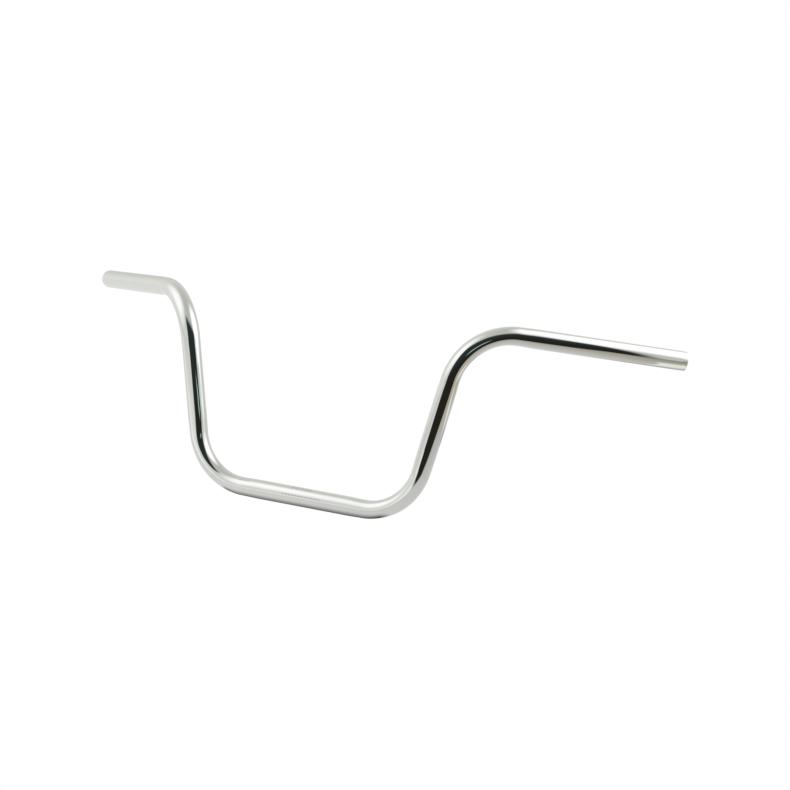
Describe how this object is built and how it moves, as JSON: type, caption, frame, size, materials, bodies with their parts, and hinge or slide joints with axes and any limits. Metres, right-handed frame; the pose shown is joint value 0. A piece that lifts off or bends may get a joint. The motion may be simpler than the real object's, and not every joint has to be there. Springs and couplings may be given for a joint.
{
  "type": "motorcycle handlebar",
  "caption": "Bent chromed steel tube that rises from a straight clamp section and sweeps back to open grip ends, each with a threaded bush.",
  "frame": {"origin": "the middle of the straight clamp section, on the tube's centreline", "axes": "+X along the clamp section to the rider's left hand, +Z the way the risers climb, +Y the way the grips sweep back, towards the rider"},
  "size_m": [0.7888, 0.1718, 0.2391],
  "materials": {
    "chrome": "polished",
    "turned_steel": "turned",
    "print": "satin"
  },
  "bodies": {
    "root": {"handlebar_tube": "chrome", "left_end_bush": "turned_steel", "right_end_bush": "turned_steel"}
  },
  "joints": []
}
